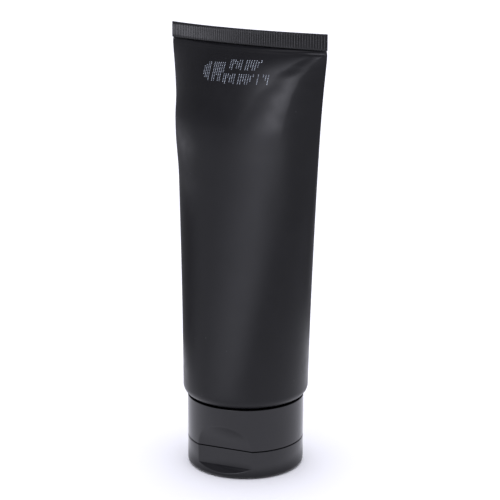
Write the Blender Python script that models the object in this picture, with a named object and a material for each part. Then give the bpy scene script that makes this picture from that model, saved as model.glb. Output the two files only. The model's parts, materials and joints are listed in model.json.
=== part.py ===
"""Shaving cream tube, standing on its closed flip-top cap.

The floor is z = 0 under the lid, +Z runs up to the crimped seal, the seal lies along X and
the tube's broad front faces -Y. The cap is turned about Z, as a screwed-on cap stops where
its thread does. The cap's own frame has the hinge at +Y and the thumb facet at -Y.
Units are metres.
"""
import math

import bmesh
import bpy
from mathutils import Matrix, Vector

MM = 0.001
GAP = 0.3 * MM                      # clearance between pieces that touch

# ---- tube ---------------------------------------------------------------------------------
TUBE_R = 25 * MM                    # round end of the sleeve, a 50 mm tube
TUBE_TOP = 174.35 * MM
CRIMP_HEIGHT = 6.1 * MM
SEAL_HALF = math.pi * TUBE_R / 2    # the flattened sleeve keeps its girth
SHOULDER_Z = 28.9 * MM              # flat face of the shoulder
CORNER_R = 4 * MM                   # round corner between shoulder and sleeve
SLEEVE_WALL = 0.5 * MM
CORNER_Z = SHOULDER_Z + CORNER_R
CRIMP_Z = TUBE_TOP - CRIMP_HEIGHT
SPREAD_POWER = 1.105                # how the width grows from the round end to the seal
EDGE_POWER = 5.33                   # how late the section's ends turn from round to sharp
EDGE_SHARPNESS = 0.9                # section exponent at the seal, where 0.5 is an ellipse
BOW = 5.1 * MM                      # the seal bulges to the front by this much
BOW_POWER = 2.41
TRIM_POWER = 120                    # the sleeve's edges draw in just under the seal
SEAL_HALF_THICKNESS = 0.38 * MM
RIB_DEPTH = 0.12 * MM
RIB_COUNT = 71                      # jaw marks along the seal
CRIMP_TRIM = 0.65 * MM              # the seal's ends are cut this far inside the sleeve's edges
SECTION_POINTS = 48
INNER_END_Z = 163 * MM              # top of the hollow, under the seal
FILL_TOP_Z = 150 * MM

# ---- neck and thread ----------------------------------------------------------------------
NECK_R = 8.0 * MM
NECK_BORE_R = 6.5 * MM
NECK_END_Z = 16.9 * MM
NECK_END_WALL = 1.2 * MM
NECK_MOUTH_R = 3.5 * MM
SHOULDER_WALL = 1.5 * MM
HEAD_RIM_WALL = 1.0 * MM
HEAD_RIM_TOP = CORNER_Z + 2.6 * MM
THREAD_PITCH = 3.2 * MM
THREAD_TURNS = 1.5
THREAD_HEIGHT = 0.9 * MM
THREAD_BASE = 1.7 * MM
THREAD_CREST = 0.9 * MM
THREAD_ROOT_SINK = 0.3 * MM         # how far a thread's foot is sunk into its wall
THREAD_START_Z = 19.6 * MM
SOCKET_R = NECK_R + THREAD_HEIGHT + GAP
SOCKET_WALL = 1.6 * MM

# ---- cap ----------------------------------------------------------------------------------
CAP_TURN = math.radians(17.6)
CAP_R = 23.3 * MM
CAP_WALL = 1.3 * MM
CAP_TOP = SHOULDER_Z - GAP
PARTING_Z = 11.4 * MM
PARTING_GAP = 0.2 * MM              # each side of the parting line
EDGE = 0.25 * MM                    # small chamfer at the parting line and the rim
DECK_THICKNESS = 2.1 * MM
SOCKET_FLOOR_Z = 15.5 * MM
SOCKET_TOP_Z = 27.4 * MM
MOUTH_R = 2.5 * MM
SPOUT_R = 4.0 * MM
SPOUT_HEIGHT = 0.75 * MM
FACET_FROM_AXIS = 20.3 * MM         # flat thumb face on the lid
SCOOP_HEIGHT = 10 * MM              # the base's thumb scoop runs out this far above the parting
SCOOP_DEPTH = CAP_R - FACET_FROM_AXIS
SCOOP_R = (SCOOP_HEIGHT ** 2 + SCOOP_DEPTH ** 2) / (2 * SCOOP_DEPTH)
LIP_THICKNESS = 2.0 * MM            # thumb lip at the foot of the lid's facet
LIP_SLOPE = ((0, 4.2), (3.2, 2.0))    # mm out of the facet, height
LID_FACE = 1.8 * MM
LID_CORNER_R = 1.5 * MM
PIN_R = MOUTH_R - GAP
PIN_TOP_Z = PARTING_Z + PARTING_GAP + 1.05 * MM
COLLAR_R = 21.4 * MM
COLLAR_WALL = 1.0 * MM
COLLAR_FRONT = 18.3 * MM
COLLAR_BACK = 16.5 * MM
COLLAR_DEPTH = 1.85 * MM
BEAD_WIDTH = 8 * MM
BEAD_PROUD = 0.3 * MM
CAP_SEGMENTS = 48
CORE_SEGMENTS = 40
SCOOP_SEGMENTS = 96
BORE_SEGMENTS = 32

# ---- hinge --------------------------------------------------------------------------------
HINGE_Y = CAP_R + GAP / 2           # hinge axis, parallel to the cap's own X
PAD_FACE_Y = HINGE_Y - 0.45 * MM
PAD_BACK_Y = 20.6 * MM
PAD_HALF = 8.2 * MM
PAD_HEIGHT = 4.6 * MM
WINDOW_HALF = 3.9 * MM
WINDOW_HEIGHT = 2.8 * MM
STRAP_ARM = 2.2 * MM                # each strap end lies this far from the axis, both ways
STRAP_HALF = 3.5 * MM
STRAP_THICKNESS = 0.6 * MM
FILM_INNER_X = 4.6 * MM
FILM_OUTER_X = 7.8 * MM
FILM_HEIGHT = 1.6 * MM
FILM_THICKNESS = 0.3 * MM

LINER_THICKNESS = 0.8 * MM


# ---- helpers ------------------------------------------------------------------------------
def clear_scene():
    for old in list(bpy.data.objects):
        bpy.data.objects.remove(old)


def material(name, colour, roughness, metallic=0.0):
    made = bpy.data.materials.new(name)
    made.use_nodes = True
    shader = made.node_tree.nodes["Principled BSDF"]
    shader.inputs["Base Color"].default_value = (*colour, 1.0)
    shader.inputs["Roughness"].default_value = roughness
    shader.inputs["Metallic"].default_value = metallic
    return made


def empty(name, location=(0, 0, 0), parent=None, turn=0.0):
    made = bpy.data.objects.new(name, None)
    made.empty_display_size = 0.01
    made.location = location
    made.rotation_euler = (0, 0, turn)
    made.parent = parent
    bpy.context.scene.collection.objects.link(made)
    return made


def finish_mesh(name, bm):
    bmesh.ops.recalc_face_normals(bm, faces=bm.faces)
    mesh = bpy.data.meshes.new(name)
    bm.to_mesh(mesh)
    bm.free()
    mesh.shade_smooth()
    mesh.set_sharp_from_angle(angle=math.radians(35))
    made = bpy.data.objects.new(name, mesh)
    bpy.context.scene.collection.objects.link(made)
    return made


def turned(name, profile, segments, cuts=()):
    """Turn a closed outline of (radius, height) points about Z, then cut it by planes."""
    bm = bmesh.new()
    points = [bm.verts.new((radius, 0, height)) for radius, height in profile]
    edges = []
    for index, point in enumerate(points):
        following = points[(index + 1) % len(points)]
        if point.co.x > 0 or following.co.x > 0:
            edges.append(bm.edges.new((point, following)))
    bmesh.ops.spin(bm, geom=points + edges, cent=(0, 0, 0), axis=(0, 0, 1),
                   angle=2 * math.pi, steps=segments, use_merge=True)
    bmesh.ops.remove_doubles(bm, verts=bm.verts, dist=1e-7)
    for point, normal in cuts:
        slice_off(bm, point, normal)
    return finish_mesh(name, bm)


def slice_off(bm, point, normal):
    """Remove what lies beyond a plane and close the cut."""
    geometry = list(bm.verts) + list(bm.edges) + list(bm.faces)
    cut = bmesh.ops.bisect_plane(bm, geom=geometry, dist=1e-8, plane_co=point,
                                 plane_no=normal, clear_outer=True)
    rim = [item for item in cut["geom_cut"] if isinstance(item, bmesh.types.BMEdge)]
    bmesh.ops.holes_fill(bm, edges=rim)


def block(name, low, high):
    """A box given by its lowest and highest corners."""
    bm = bmesh.new()
    bmesh.ops.create_cube(bm, size=1.0)
    low = Vector(low)
    high = Vector(high)
    for vertex in bm.verts:
        share = vertex.co + Vector((0.5, 0.5, 0.5))
        vertex.co = [a + (b - a) * t for a, b, t in zip(low, high, share)]
    return finish_mesh(name, bm)


def lofted(name, rings):
    """A closed solid through rings of equally many points, closed at both ends."""
    bm = bmesh.new()
    rows = [[bm.verts.new(point) for point in ring] for ring in rings]
    count = len(rows[0])
    for row, above in zip(rows, rows[1:]):
        for index in range(count):
            following = (index + 1) % count
            bm.faces.new((row[index], row[following], above[following], above[index]))
    bm.faces.new(rows[0])
    bm.faces.new(rows[-1])
    return finish_mesh(name, bm)


def combine(target, operation, *tools):
    """Boolean each tool with the target and keep the tools as hidden guides."""
    for tool in tools:
        modifier = target.modifiers.new(tool.name, "BOOLEAN")
        modifier.operation = operation
        modifier.solver = "EXACT"
        modifier.object = tool
        tool.hide_render = True
        tool.display_type = "WIRE"


def place(parent, origin, *objects):
    """Hang objects on a parent, with their origins moved to a point of its frame."""
    for item in objects:
        item.data.transform(Matrix.Translation(-Vector(origin)))
        item.location = origin
        item.parent = parent


def arc(centre, radius, start, end, steps):
    """Points of a round corner in (radius, height); the angles are in degrees."""
    angles = [math.radians(start + (end - start) * step / steps) for step in range(steps + 1)]
    return [(centre[0] + radius * math.cos(a), centre[1] + radius * math.sin(a)) for a in angles]


def helix(name, foot_r, crest_r, start_z, start_angle, segments=24):
    """A thread ridge of trapezium section whose ends taper into the wall it stands on."""
    steps = round(THREAD_TURNS * segments)
    outward = 1 if crest_r > foot_r else -1
    sunk_r = foot_r - outward * THREAD_ROOT_SINK
    bm = bmesh.new()
    rows = []
    for step in range(steps + 1):
        angle = start_angle + 2 * math.pi * step / segments
        height = start_z + THREAD_PITCH * step / segments
        fade = min(1.0, step / 4, (steps - step) / 4)
        tip_r = foot_r + (crest_r - foot_r) * fade
        section = ((sunk_r, -THREAD_BASE / 2), (foot_r, -THREAD_BASE / 2),
                   (tip_r, -THREAD_CREST / 2), (tip_r, THREAD_CREST / 2),
                   (foot_r, THREAD_BASE / 2), (sunk_r, THREAD_BASE / 2))
        rows.append([bm.verts.new((r * math.cos(angle), r * math.sin(angle), height + z))
                     for r, z in section])
    count = len(rows[0])
    for row, following in zip(rows, rows[1:]):
        for index in range(count):
            after = (index + 1) % count
            bm.faces.new((row[index], row[after], following[after], following[index]))
    bm.faces.new(rows[0])
    bm.faces.new(rows[-1])
    bmesh.ops.remove_doubles(bm, verts=bm.verts, dist=1e-7)
    return finish_mesh(name, bm)


# ---- sleeve shape -------------------------------------------------------------------------
def outline(half_width, half_depth, sharpness):
    """Section of the sleeve: an ellipse at sharpness 0.5, pointed ends towards 1."""
    points = []
    for step in range(SECTION_POINTS):
        angle = 2 * math.pi * step / SECTION_POINTS
        depth = half_depth * abs(math.sin(angle)) ** (2 * sharpness)
        points.append((half_width * math.cos(angle), math.copysign(depth, math.sin(angle))))
    return points


def girth(points):
    following = points[1:] + points[:1]
    return sum(math.dist(a, b) for a, b in zip(points, following))


def half_depth_for(half_width, sharpness):
    """Half depth at which the section has the round end's girth, found by halving."""
    target = girth(outline(TUBE_R, TUBE_R, 0.5))
    low = 0.0
    high = 1.2 * TUBE_R
    for _ in range(40):
        middle = (low + high) / 2
        if girth(outline(half_width, middle, sharpness)) < target:
            low = middle
        else:
            high = middle
    return low


def sleeve_ring(height, inset=0.0):
    """One ring of the sleeve at a height, moved inwards by a wall's thickness."""
    share = max(0.0, (height - CORNER_Z) / (CRIMP_Z - CORNER_Z))
    half_width = TUBE_R + (SEAL_HALF - TUBE_R) * share ** SPREAD_POWER
    sharpness = 0.5 + (EDGE_SHARPNESS - 0.5) * share ** EDGE_POWER
    half_depth = max(half_depth_for(half_width, sharpness), SEAL_HALF_THICKNESS - 0.1 * MM)
    bow = BOW * share ** BOW_POWER
    half_width -= inset + 1.5 * CRIMP_TRIM * share ** TRIM_POWER
    ring = []
    for x, y in outline(half_width, half_depth - inset, sharpness):
        ring.append((x, y - bow * (1 - (x / half_width) ** 2), height))
    return ring


def corner_rings(radius, first_angle):
    """Rings of the round corner from the shoulder up to the straight sleeve."""
    centre = (TUBE_R - CORNER_R, CORNER_Z)
    rings = []
    for ring_r, height in arc(centre, radius, first_angle, 0, 4)[:-1]:
        scale = ring_r / TUBE_R
        rings.append([(x * scale, y * scale, height) for x, y in outline(TUBE_R, TUBE_R, 0.5)])
    return rings


def heights(low, high, count):
    return [low + (high - low) * step / count for step in range(count + 1)]


# ---- pieces of the tube -------------------------------------------------------------------
def make_sleeve():
    outer = corner_rings(CORNER_R, -80)
    upper = heights(CORNER_Z, 150 * MM, 6) + heights(157 * MM, CRIMP_Z, 3)
    outer += [sleeve_ring(height) for height in upper]
    outer.append([(x, y, CRIMP_Z + 0.5 * MM) for x, y, _ in outer[-1]])
    inner = corner_rings(CORNER_R - SLEEVE_WALL, -80)
    inner += [sleeve_ring(height, SLEEVE_WALL) for height in upper if height < INNER_END_Z]
    sleeve = lofted("tube_sleeve", inner[::-1] + outer)
    combine(sleeve, "UNION", make_crimp())
    return sleeve


def make_crimp():
    """The pressed seal: ribs run up and down it on both faces."""
    front = []
    back = []
    reach = SEAL_HALF - CRIMP_TRIM
    for step in range(2 * RIB_COUNT + 1):
        x = reach * (step / RIB_COUNT - 1)
        middle = -BOW * (1 - (x / SEAL_HALF) ** 2)
        half = SEAL_HALF_THICKNESS + RIB_DEPTH * (step % 2)
        front.append((x, middle - half))
        back.append((x, middle + half))
    loop = front + back[::-1]
    return lofted("crimp_band", [[(x, y, z) for x, y in loop] for z in (CRIMP_Z, TUBE_TOP)])


def make_head():
    corner = (TUBE_R - CORNER_R, CORNER_Z)
    rim_r = CORNER_R - SLEEVE_WALL - GAP
    step_r = corner[0] + 0.45 * MM
    outside = [(corner[0] + rim_r, HEAD_RIM_TOP)] + arc(corner, rim_r, 0, -80, 4)
    outside += [(step_r, outside[-1][1]), (step_r, SHOULDER_Z), (NECK_R, SHOULDER_Z),
                (NECK_R, NECK_END_Z), (NECK_MOUTH_R, NECK_END_Z)]
    inside_floor = SHOULDER_Z + SHOULDER_WALL
    inside = [(NECK_MOUTH_R, NECK_END_Z + NECK_END_WALL),
              (NECK_BORE_R, NECK_END_Z + NECK_END_WALL), (NECK_BORE_R, inside_floor)]
    inside += arc(corner, rim_r - HEAD_RIM_WALL, -80, 0, 3)
    inside += [(corner[0] + rim_r - HEAD_RIM_WALL, HEAD_RIM_TOP)]
    head = turned("tube_head", outside + inside, CORE_SEGMENTS)
    thread = helix("neck_thread", NECK_R, NECK_R + THREAD_HEIGHT, THREAD_START_Z, 0)
    combine(head, "UNION", thread)
    return head


def make_cream():
    """The filling, from the neck up to a little below the seal."""
    lower = [(NECK_BORE_R - GAP, NECK_END_Z + NECK_END_WALL + GAP),
             (NECK_BORE_R - GAP, SHOULDER_Z + SHOULDER_WALL + 2 * GAP),
             (TUBE_R - CORNER_R, SHOULDER_Z + SHOULDER_WALL + 1.5 * MM),
             (TUBE_R - SLEEVE_WALL - HEAD_RIM_WALL - 3 * GAP, CORNER_Z),
             (TUBE_R - SLEEVE_WALL - HEAD_RIM_WALL - 3 * GAP, HEAD_RIM_TOP + GAP)]
    rings = []
    for ring_r, height in lower:
        scale = ring_r / TUBE_R
        rings.append([(x * scale, y * scale, height) for x, y in outline(TUBE_R, TUBE_R, 0.5)])
    upper = heights(HEAD_RIM_TOP + 2 * MM, FILL_TOP_Z, 6)
    rings += [sleeve_ring(height, SLEEVE_WALL + 2 * GAP) for height in upper]
    return lofted("cream_fill", rings)


def make_liner():
    low = SOCKET_FLOOR_Z + GAP
    high = low + LINER_THICKNESS
    outer_r = SOCKET_R - GAP - 0.1 * MM
    profile = [(NECK_MOUTH_R, low), (outer_r, low), (outer_r, high), (NECK_MOUTH_R, high)]
    return turned("sealing_liner", profile, BORE_SEGMENTS)


# ---- pieces of the cap, in the cap's own frame --------------------------------------------
def make_cap_base():
    low = PARTING_Z + PARTING_GAP
    deck_top = low + DECK_THICKNESS
    profile = [(0, low - SPOUT_HEIGHT), (SPOUT_R, low - SPOUT_HEIGHT), (SPOUT_R + EDGE, low),
               (CAP_R - EDGE, low), (CAP_R, low + EDGE), (CAP_R, CAP_TOP - EDGE),
               (CAP_R - EDGE, CAP_TOP), (0, CAP_TOP)]
    base = turned("cap_base", profile, CAP_SEGMENTS)

    inner_r = CAP_R - CAP_WALL
    core = [(0, CAP_TOP + 1 * MM), (0, low - 2 * MM), (MOUTH_R, low - 2 * MM),
            (MOUTH_R, SOCKET_FLOOR_Z - 1.5 * MM), (NECK_MOUTH_R, SOCKET_FLOOR_Z),
            (SOCKET_R, SOCKET_FLOOR_Z), (SOCKET_R, SOCKET_TOP_Z),
            (SOCKET_R + SOCKET_WALL, SOCKET_TOP_Z), (SOCKET_R + SOCKET_WALL, deck_top),
            (inner_r, deck_top), (inner_r, CAP_TOP + 1 * MM)]
    hollow = turned("cap_base_core", core, CORE_SEGMENTS)
    scoop = crossbar("thumb_scoop", SCOOP_R)
    wide_scoop = crossbar("thumb_scoop_wall", SCOOP_R + CAP_WALL)

    half = WINDOW_HALF
    pad = block("base_hinge_pad", (-PAD_HALF, PAD_BACK_Y, low),
                (PAD_HALF, PAD_FACE_Y, PARTING_Z + PAD_HEIGHT))
    window = block("base_hinge_window", (-half, PAD_BACK_Y - GAP, low - 2 * MM),
                   (half, CAP_R + 1 * MM, PARTING_Z + WINDOW_HEIGHT))
    socket_thread = helix("socket_thread", SOCKET_R, NECK_R + GAP,
                          THREAD_START_Z + THREAD_PITCH / 2, 0)
    collar = make_collar(low)
    combine(hollow, "DIFFERENCE", wide_scoop)
    combine(base, "UNION", collar[0])
    combine(base, "DIFFERENCE", scoop, hollow)
    combine(base, "UNION", pad, socket_thread)
    combine(base, "DIFFERENCE", window)
    return [base, hollow, scoop, wide_scoop, pad, window, socket_thread, *collar]


def crossbar(name, radius):
    """A level cylinder in front of the cap, touching the facet's plane at the parting line."""
    bm = bmesh.new()
    bmesh.ops.create_cone(bm, cap_ends=True, segments=SCOOP_SEGMENTS, radius1=radius,
                          radius2=radius, depth=2.2 * CAP_R)
    mesh_axis = Matrix.Rotation(math.pi / 2, 4, "Y")
    centre = Vector((0, -FACET_FROM_AXIS - SCOOP_R, PARTING_Z))
    bmesh.ops.transform(bm, matrix=Matrix.Translation(centre) @ mesh_axis, verts=bm.verts)
    return finish_mesh(name, bm)


def make_collar(low):
    """A low wall round the deck that centres the lid, with the bead that holds it shut."""
    bottom = low - COLLAR_DEPTH
    outer = [(0, bottom), (COLLAR_R - EDGE, bottom), (COLLAR_R, bottom + EDGE),
             (COLLAR_R, low + 0.5 * MM), (0, low + 0.5 * MM)]
    inner_r = COLLAR_R - COLLAR_WALL
    inner = [(0, bottom - 1 * MM), (inner_r, bottom - 1 * MM), (inner_r, low), (0, low)]
    front = (0, -COLLAR_FRONT, 0)
    inner_front = (0, COLLAR_WALL - COLLAR_FRONT, 0)
    back = (0, COLLAR_BACK, 0)
    past_back = (0, COLLAR_BACK + 1 * MM, 0)
    collar = turned("collar", outer, CORE_SEGMENTS, [(front, (0, -1, 0)), (back, (0, 1, 0))])
    hollow = turned("collar_core", inner, CORE_SEGMENTS,
                    [(inner_front, (0, -1, 0)), (past_back, (0, 1, 0))])
    bead = block("latch_bead", (-BEAD_WIDTH / 2, -COLLAR_FRONT - BEAD_PROUD, bottom + 0.4 * MM),
                 (BEAD_WIDTH / 2, -COLLAR_FRONT + 0.4 * MM, bottom + 0.9 * MM))
    combine(collar, "DIFFERENCE", hollow)
    combine(collar, "UNION", bead)
    return [collar, hollow, bead]


def make_lid():
    top = PARTING_Z - PARTING_GAP
    column_r = SPOUT_R
    corner = (CAP_R - LID_CORNER_R, LID_CORNER_R)
    profile = [(0, 0)] + arc(corner, LID_CORNER_R, -90, 0, 4)
    profile += [(CAP_R, top - EDGE), (CAP_R - EDGE, top), (column_r, top),
                (column_r, PIN_TOP_Z + 0.4 * MM), (0, PIN_TOP_Z + 0.4 * MM)]
    lid = turned("flip_lid", profile, CAP_SEGMENTS)

    in_front = -CAP_R - 1 * MM
    side = [(-FACET_FROM_AXIS - out * MM, height * MM) for out, height in LIP_SLOPE]
    side += [(in_front, LIP_THICKNESS), (in_front, top + 1 * MM),
             (-FACET_FROM_AXIS, top + 1 * MM)]
    facet = lofted("lid_facet", [[(x, y, z) for y, z in side] for x in (-CAP_R, CAP_R)])
    inner_r = CAP_R - CAP_WALL
    core = [(0, PIN_TOP_Z), (PIN_R - 0.6 * MM, PIN_TOP_Z), (PIN_R, PIN_TOP_Z - 0.8 * MM),
            (PIN_R + 0.3 * MM, LID_FACE + 1.2 * MM), (PIN_R + 1.2 * MM, LID_FACE),
            (inner_r, LID_FACE), (inner_r, PIN_TOP_Z + 1 * MM), (0, PIN_TOP_Z + 1 * MM)]
    inner_front = ((0, CAP_WALL - FACET_FROM_AXIS, 0), (0, -1, 0))
    hollow = turned("lid_core", core, CORE_SEGMENTS, [inner_front])

    half = WINDOW_HALF
    pad = block("lid_hinge_pad", (-PAD_HALF, PAD_BACK_Y, PARTING_Z - PAD_HEIGHT),
                (PAD_HALF, PAD_FACE_Y, top))
    window = block("lid_hinge_window", (-half, PAD_BACK_Y - GAP, PARTING_Z - WINDOW_HEIGHT),
                   (half, CAP_R + 1 * MM, top + 1 * MM))
    combine(lid, "DIFFERENCE", facet, hollow)
    combine(lid, "UNION", pad)
    combine(lid, "DIFFERENCE", window)
    return [lid, facet, hollow, pad, window]


def make_films():
    """Thin living hinges that join base and lid on both sides of the strap."""
    films = []
    for name, side in (("hinge_film_left", -1), ("hinge_film_right", 1)):
        x_ends = sorted((side * FILM_INNER_X, side * FILM_OUTER_X))
        low = (x_ends[0], HINGE_Y - FILM_THICKNESS / 2, PARTING_Z - FILM_HEIGHT)
        high = (x_ends[1], HINGE_Y + FILM_THICKNESS / 2, PARTING_Z + FILM_HEIGHT)
        films.append(block(name, low, high))
    return films


def make_strap():
    """The over-centre strap, upright in the hinge window while the lid is shut."""
    reach = STRAP_ARM + STRAP_THICKNESS / 2
    middle_y = HINGE_Y - STRAP_ARM
    low = (-STRAP_HALF, middle_y - STRAP_THICKNESS / 2, PARTING_Z - reach)
    high = (STRAP_HALF, middle_y + STRAP_THICKNESS / 2, PARTING_Z + reach)
    return block("hinge_snap_strap", low, high)


def paint(finish, *objects):
    for item in objects:
        item.data.materials.append(finish)


def main():
    clear_scene()
    soft_black = material("tube_satin_black", (0.021, 0.021, 0.022), 0.5)
    head_black = material("head_matte_black", (0.018, 0.018, 0.019), 0.55)
    cap_black = material("cap_gloss_black", (0.012, 0.012, 0.013), 0.12)
    lid_black = material("lid_gloss_black", (0.012, 0.012, 0.013), 0.12)
    hinge_black = material("hinge_satin_black", (0.014, 0.014, 0.015), 0.35)
    liner_white = material("liner_white", (0.8, 0.8, 0.78), 0.6)
    cream_white = material("cream_white", (0.88, 0.88, 0.86), 0.45)

    screw_axis = empty("screw_axis")
    sleeve = make_sleeve()
    head = make_head()
    cream = make_cream()
    liner = make_liner()
    guides = [modifier.object for item in (sleeve, head) for modifier in item.modifiers]
    place(screw_axis, (0, 0, 0), sleeve, head, cream, liner, *guides)
    paint(soft_black, sleeve)
    paint(head_black, head)
    paint(cream_white, cream)
    paint(liner_white, liner)

    cap_frame = empty("cap_frame", turn=CAP_TURN)
    base_objects = make_cap_base()
    films = make_films()
    place(cap_frame, (0, 0, 0), *base_objects, *films)
    paint(cap_black, base_objects[0])
    paint(hinge_black, *films)

    lid_objects = make_lid()
    place(cap_frame, (0, HINGE_Y, PARTING_Z), *lid_objects)
    paint(lid_black, lid_objects[0])

    strap = make_strap()
    place(cap_frame, (0, HINGE_Y - STRAP_ARM, PARTING_Z + STRAP_ARM), strap)
    paint(hinge_black, strap)


main()
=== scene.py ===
"""Looks of the shaving cream tube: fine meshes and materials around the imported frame.

Everything is in metres in the frame's own axes: the floor is z = 0, the seal lies along X and
the tube's broad front faces -Y. Meshes of the cap are made in the cap's own frame, hinge at
+Y and thumb facet at -Y, and turned into place.
"""
import functools
import json
import math

import bmesh
import bpy
from mathutils import Matrix, Vector


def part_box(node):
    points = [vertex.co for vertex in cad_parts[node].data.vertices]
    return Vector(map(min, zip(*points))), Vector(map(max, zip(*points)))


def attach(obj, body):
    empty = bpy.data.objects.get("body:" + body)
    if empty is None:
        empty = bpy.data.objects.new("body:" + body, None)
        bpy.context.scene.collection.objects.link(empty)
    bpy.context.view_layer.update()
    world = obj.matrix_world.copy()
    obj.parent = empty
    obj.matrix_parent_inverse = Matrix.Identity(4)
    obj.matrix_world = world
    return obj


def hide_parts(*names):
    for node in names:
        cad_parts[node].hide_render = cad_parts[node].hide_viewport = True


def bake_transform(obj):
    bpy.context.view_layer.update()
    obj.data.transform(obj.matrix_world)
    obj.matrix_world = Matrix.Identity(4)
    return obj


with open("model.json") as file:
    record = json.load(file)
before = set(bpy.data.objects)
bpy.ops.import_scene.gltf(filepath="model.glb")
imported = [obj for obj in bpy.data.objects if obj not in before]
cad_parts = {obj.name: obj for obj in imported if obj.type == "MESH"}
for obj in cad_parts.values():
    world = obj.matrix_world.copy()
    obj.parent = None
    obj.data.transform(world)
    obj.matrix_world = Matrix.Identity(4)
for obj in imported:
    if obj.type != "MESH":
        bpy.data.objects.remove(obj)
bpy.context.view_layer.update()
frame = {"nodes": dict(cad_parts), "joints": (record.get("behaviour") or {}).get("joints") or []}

MM = 0.001

# ---- sizes from the frame -----------------------------------------------------------------
sleeve_low, sleeve_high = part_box("tube_sleeve")
base_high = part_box("cap_base")[1]
hinge = next(joint for joint in frame["joints"] if joint["name"] == "lid_hinge")
strap_joint = next(joint for joint in frame["joints"] if joint["name"] == "strap_swing")

TUBE_R = sleeve_high.y
TUBE_TOP = sleeve_high.z
SEAL_HALF = math.pi * TUBE_R / 2
CRIMP_REACH = sleeve_high.x
CRIMP_TRIM = SEAL_HALF - CRIMP_REACH
CRIMP_HEIGHT = 6.1 * MM             # the ribbed seal
CRIMP_Z = TUBE_TOP - CRIMP_HEIGHT
SHOULDER_Z = sleeve_low.z - 0.08 * MM
CORNER_R = 4 * MM
CORNER_START = -80                  # degrees; the sleeve's round corner starts nearly under it
CORNER_Z = SHOULDER_Z + CORNER_R
SLEEVE_WALL = 0.5 * MM
SPREAD_POWER = 1.105                # how the sleeve widens on its way up
EDGE_POWER = 5.33                   # how its sides sharpen
EDGE_SHARPNESS = 0.9
TRIM_POWER = 120                    # how late its width is trimmed to the seal's
BOW = 5.1 * MM                      # how far the middle of the seal bulges to the front
BOW_POWER = 2.41
SEAL_HALF_THICKNESS = 0.38 * MM
PRESSED_FROM = 159 * MM             # the jaws press the wall flat from PRESSED_TO up to the seal
PRESSED_TO = 166.6 * MM
RIB_COUNT = 71
RIB_DEPTH = 0.36 * MM
DOT_R = 0.18 * MM                   # a dot of the ink jet mark
DOT_COLUMN = 1.04 * MM
DOT_ROW = 0.56 * MM

NECK_R = 8 * MM
NECK_END_Z = 16.9 * MM
THREAD_PITCH = 3.2 * MM
THREAD_START_Z = 19.6 * MM
THREAD_TURNS = 1.5
SPOUT_HOLE_R = 3.5 * MM             # opening through the neck's end and the liner

CAP_TURN = math.atan2(hinge["axis"][1], hinge["axis"][0])
CAP_R = 23.3 * MM
CAP_WALL = 1.3 * MM
SOCKET_R = 9.2 * MM                 # the threaded socket that takes the neck
CAP_TOP = base_high.z
HINGE_Y = math.hypot(hinge["pos_m"][0], hinge["pos_m"][1])
PARTING_Z = hinge["pos_m"][2]
PARTING_GAP = 0.2 * MM
STRAP_Y = math.hypot(strap_joint["pos_m"][0], strap_joint["pos_m"][1])
STRAP_ARM = HINGE_Y - STRAP_Y
PAD_FACE = HINGE_Y - 0.45 * MM
PAD_BACK = 20.6 * MM
RING_COUNT = 720                    # points round the cap's walls
FACET_FROM_AXIS = 20.3 * MM
SCOOP_HEIGHT = 10 * MM
SCOOP_R = (SCOOP_HEIGHT ** 2 + (CAP_R - FACET_FROM_AXIS) ** 2) / (2 * (CAP_R - FACET_FROM_AXIS))
LIP_TOP = 4.2 * MM                  # the facet ends here, and slopes out to the thumb lip
LIP_LOW = 2.0 * MM
LIP_REACH = 3.2 * MM
LID_FACE = 1.8 * MM
LID_CORNER_R = 1.5 * MM
EDGE_R = 0.14 * MM                  # moulded edges are rounded by this much
PIN_TOP_Z = 12.6 * MM
PAD_HALF = 8.2 * MM                 # hinge pads of base and lid
PAD_HEIGHT = 4.6 * MM
WINDOW_HALF = 3.9 * MM              # opening for the snap strap
WINDOW_HEIGHT = 2.8 * MM
FILM_HALF_HEIGHT = 1.7 * MM

CAMERA_TURN = math.radians(40.86)
CAMERA_RISE = math.radians(13.77)
CAMERA_ROLL = math.radians(0.23)
CAMERA_DISTANCE = 0.5923
CAMERA_AIM_Z = TUBE_TOP / 2 + 0.08 * MM
CAMERA_ASIDE = 1.52 * MM
CAMERA_LENS = 108.3


# ---- mesh helpers -------------------------------------------------------------------------
def finish_mesh(name, bm, sharp_angle=35):
    """Turn a bmesh into a linked, smoothly shaded object."""
    bmesh.ops.recalc_face_normals(bm, faces=bm.faces)
    mesh = bpy.data.meshes.new(name)
    bm.to_mesh(mesh)
    bm.free()
    mesh.shade_smooth()
    mesh.set_sharp_from_angle(angle=math.radians(sharp_angle))
    made = bpy.data.objects.new(name, mesh)
    bpy.context.scene.collection.objects.link(made)
    return made


def turned(name, profile, segments, cuts=()):
    """Turn a closed outline of (radius, height) points about Z, then cut it by planes."""
    bm = bmesh.new()
    points = [bm.verts.new((radius, 0, height)) for radius, height in profile]
    edges = []
    for index, point in enumerate(points):
        following = points[(index + 1) % len(points)]
        if point.co.x > 0 or following.co.x > 0:
            edges.append(bm.edges.new((point, following)))
    bmesh.ops.spin(bm, geom=points + edges, cent=(0, 0, 0), axis=(0, 0, 1),
                   angle=2 * math.pi, steps=segments, use_merge=True)
    bmesh.ops.remove_doubles(bm, verts=bm.verts, dist=1e-7)
    for point, normal in cuts:
        geometry = list(bm.verts) + list(bm.edges) + list(bm.faces)
        cut = bmesh.ops.bisect_plane(bm, geom=geometry, dist=1e-8, plane_co=point,
                                     plane_no=normal, clear_outer=True)
        rim = [item for item in cut["geom_cut"] if isinstance(item, bmesh.types.BMEdge)]
        bmesh.ops.holes_fill(bm, edges=rim)
    return finish_mesh(name, bm)


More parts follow.
